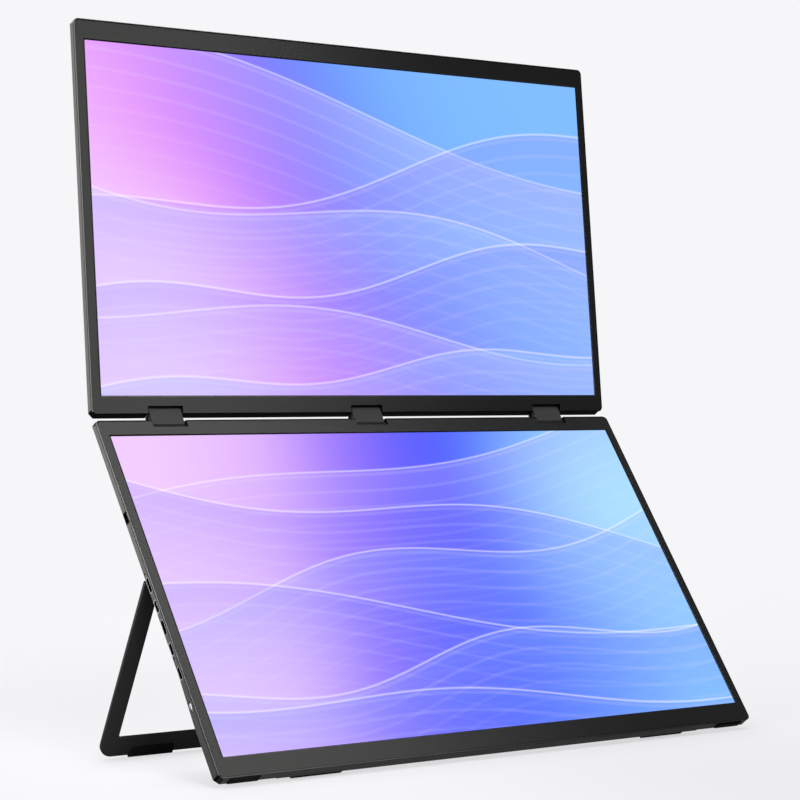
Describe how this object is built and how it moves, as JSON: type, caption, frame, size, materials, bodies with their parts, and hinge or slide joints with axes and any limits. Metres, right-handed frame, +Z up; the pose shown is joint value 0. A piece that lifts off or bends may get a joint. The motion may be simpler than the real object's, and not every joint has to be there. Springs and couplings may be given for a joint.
{
  "type": "stacked dual-screen portable monitor",
  "caption": "Folding portable monitor with a screen hinged above another by double-axis links, standing on a folding U-shaped stand.",
  "frame": {"origin": "middle of the footprint on the floor it stands on", "axes": "+Z up, screens face -Y, +X to a viewer's right"},
  "size_m": [0.3559, 0.151, 0.3966],
  "materials": {
    "frame_plastic": "matte",
    "lit_screen": "gloss",
    "cover_metal": "fine matt blast",
    "stand_metal": "satin",
    "link_metal": "satin",
    "cap_plastic": "matte",
    "black_rubber": "matte",
    "plate_metal": "mill",
    "steel": "satin",
    "dark_screws": "black oxide",
    "board": "satin",
    "chip_black": "matte",
    "ribbon_film": "satin",
    "socket_shell": "bright",
    "black_plastic": "matte",
    "wheel_chrome": "bright"
  },
  "bodies": {
    "lower_display": {"lower_front_frame": "frame_plastic", "lower_screen": "lit_screen", "lower_carrier_plate": "plate_metal", "lower_rear_cover": "cover_metal", "lower_driver_board": "board", "lower_case_screws": "dark_screws", "lower_hinge_brackets": "steel", "lower_bracket_screws": "dark_screws", "lower_hinge_pins": "steel", "lower_ribbons": "ribbon_film", "main_board": "board", "board_screws": "dark_screws", "board_chips": "chip_black", "usb_c_shells": "socket_shell", "usb_c_tongues": "black_plastic", "micro_socket_shells": "socket_shell", "micro_socket_tongues": "black_plastic", "pinhole_lenses": "black_plastic", "lock_slot_liner": "black_plastic", "thumb_wheel_switch": "black_plastic", "bottom_edge_pads": "black_rubber", "rear_feet": "black_rubber", "stand_brackets": "steel", "stand_bracket_screws": "dark_screws", "stand_pins": "steel"},
    "hinge_links": {"hinge_link_left": "link_metal", "hinge_link_middle": "link_metal", "hinge_link_right": "link_metal", "hinge_link_caps": "cap_plastic", "hinge_sleeves": "steel", "hinge_ribbon": "ribbon_film"},
    "upper_display": {"upper_front_frame": "frame_plastic", "upper_screen": "lit_screen", "upper_carrier_plate": "plate_metal", "upper_rear_cover": "cover_metal", "upper_driver_board": "board", "upper_case_screws": "dark_screws", "upper_hinge_brackets": "steel", "upper_bracket_screws": "dark_screws", "upper_hinge_pins": "steel", "upper_ribbon": "ribbon_film"},
    "stand": {"stand_frame": "stand_metal", "stand_pads": "black_rubber"},
    "wheel_carriage": {"thumb_wheel_carriage": "black_plastic", "thumb_wheel_axle": "steel"},
    "wheel": {"thumb_wheel": "wheel_chrome"}
  },
  "joints": [
    {"name": "lower_hinge", "type": "hinge", "parent": "lower_display", "child": "hinge_links", "pos_m": [0, 0.05024, 0.17631], "axis": [1, 0, 0], "range_deg": [-72.65, 84.85]},
    {"name": "upper_hinge", "type": "hinge", "parent": "hinge_links", "child": "upper_display", "pos_m": [0, 0.05531, 0.18493], "axis": [1, 0, 0], "range_deg": [-93.15, 64.35]},
    {"name": "stand_fold", "type": "hinge", "parent": "lower_display", "child": "stand", "pos_m": [0, -0.00212, 0.09646], "axis": [1, 0, 0], "range_deg": [-63.2, 5.7]},
    {"name": "wheel_press", "type": "slide", "parent": "lower_display", "child": "wheel_carriage", "axis": [1, 0, 0], "range_m": [0, 0.0004], "stiffness_N_per_m": 5000, "springref_m": -0.0001},
    {"name": "wheel_turn", "type": "hinge", "parent": "wheel_carriage", "child": "wheel", "pos_m": [-0.17475, -0.0486, 0.0375], "axis": [0, -0.8126, 0.5829], "range_deg": [-15, 15], "stiffness_Nm_per_rad": 0.02}
  ]
}
